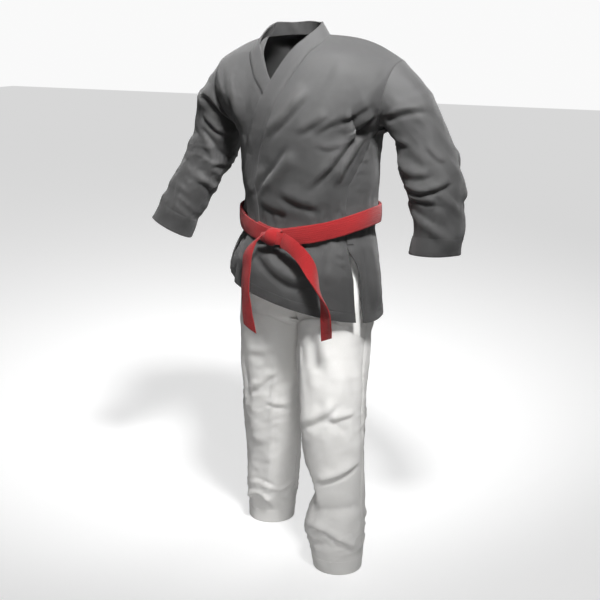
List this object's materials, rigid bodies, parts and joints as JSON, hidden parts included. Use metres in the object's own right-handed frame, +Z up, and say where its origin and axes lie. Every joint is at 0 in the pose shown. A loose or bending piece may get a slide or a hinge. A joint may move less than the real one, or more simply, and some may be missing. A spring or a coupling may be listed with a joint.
{
  "type": "martial arts uniform",
  "caption": "Crossover jacket with set-in sleeves and side vents, a knotted belt and drawstring trousers, shaped as worn.",
  "frame": {"origin": "middle of the shoulder line, where the wearer's shoulders or a hanger hold the jacket", "axes": "+Z up, -Y the way the wearer faces, +X to the wearer's left"},
  "size_m": [0.9034, 0.3655, 1.4237],
  "materials": {
    "jacket_cloth": "matt cotton drill",
    "jacket_tape": "matt twill tape",
    "belt_cloth": "stitched cotton webbing",
    "trouser_cloth": "matt cotton drill",
    "elastic": "ribbed elastic",
    "drawstring_cord": "flat braid"
  },
  "bodies": {
    "jacket_and_waist": {"back_panel": "jacket_cloth", "left_side_panel": "jacket_cloth", "right_side_panel": "jacket_cloth", "left_front_panel": "jacket_cloth", "right_front_panel": "jacket_cloth", "left_lapel": "jacket_cloth", "right_lapel": "jacket_cloth", "neck_band": "jacket_cloth", "back_hem": "jacket_cloth", "left_front_hem": "jacket_cloth", "right_front_hem": "jacket_cloth", "left_vent_patch": "jacket_cloth", "right_vent_patch": "jacket_cloth", "inner_tie_right": "jacket_tape", "inner_tie_left": "jacket_tape", "inner_tie_knot": "jacket_tape", "belt_inner_wrap": "belt_cloth", "belt_outer_wrap": "belt_cloth", "belt_knot": "belt_cloth", "trouser_waistband": "trouser_cloth", "waist_elastic": "elastic", "trouser_drawstring": "drawstring_cord", "left_seat_front": "trouser_cloth", "right_seat_front": "trouser_cloth", "left_seat_back": "trouser_cloth", "right_seat_back": "trouser_cloth", "crotch_gusset": "trouser_cloth"},
    "left_sleeve": {"left_sleeve": "jacket_cloth", "left_cuff": "jacket_cloth"},
    "right_sleeve": {"right_sleeve": "jacket_cloth", "right_cuff": "jacket_cloth"},
    "left_leg": {"left_leg_front": "trouser_cloth", "left_leg_back": "trouser_cloth", "left_leg_hem": "trouser_cloth"},
    "right_leg": {"right_leg_front": "trouser_cloth", "right_leg_back": "trouser_cloth", "right_leg_hem": "trouser_cloth"},
    "left_belt_tail": {"left_belt_tail": "belt_cloth"},
    "right_belt_tail": {"right_belt_tail": "belt_cloth"}
  },
  "joints": [
    {"name": "right_sleeve_raise", "type": "hinge", "parent": "jacket_and_waist", "child": "right_sleeve", "pos_m": [-0.14873, 0, -0.08229], "axis": [0, 1, 0], "range_deg": [0, 45]},
    {"name": "left_sleeve_raise", "type": "hinge", "parent": "jacket_and_waist", "child": "left_sleeve", "pos_m": [0.14873, 0, -0.08229], "axis": [0, -1, 0], "range_deg": [0, 45]},
    {"name": "right_leg_swing", "type": "hinge", "parent": "jacket_and_waist", "child": "right_leg", "pos_m": [0, -0.015, -0.575], "axis": [-1, 0, 0], "range_deg": [-10, 18]},
    {"name": "left_leg_swing", "type": "hinge", "parent": "jacket_and_waist", "child": "left_leg", "pos_m": [0, -0.015, -0.575], "axis": [-1, 0, 0], "range_deg": [-18, 6]},
    {"name": "right_belt_tail_swing", "type": "hinge", "parent": "jacket_and_waist", "child": "right_belt_tail", "pos_m": [-0.022, -0.172, -0.451], "axis": [-1, 0, 0], "range_deg": [0, 35]},
    {"name": "left_belt_tail_swing", "type": "hinge", "parent": "jacket_and_waist", "child": "left_belt_tail", "pos_m": [-0.022, -0.172, -0.451], "axis": [-1, 0, 0], "range_deg": [0, 35]}
  ]
}
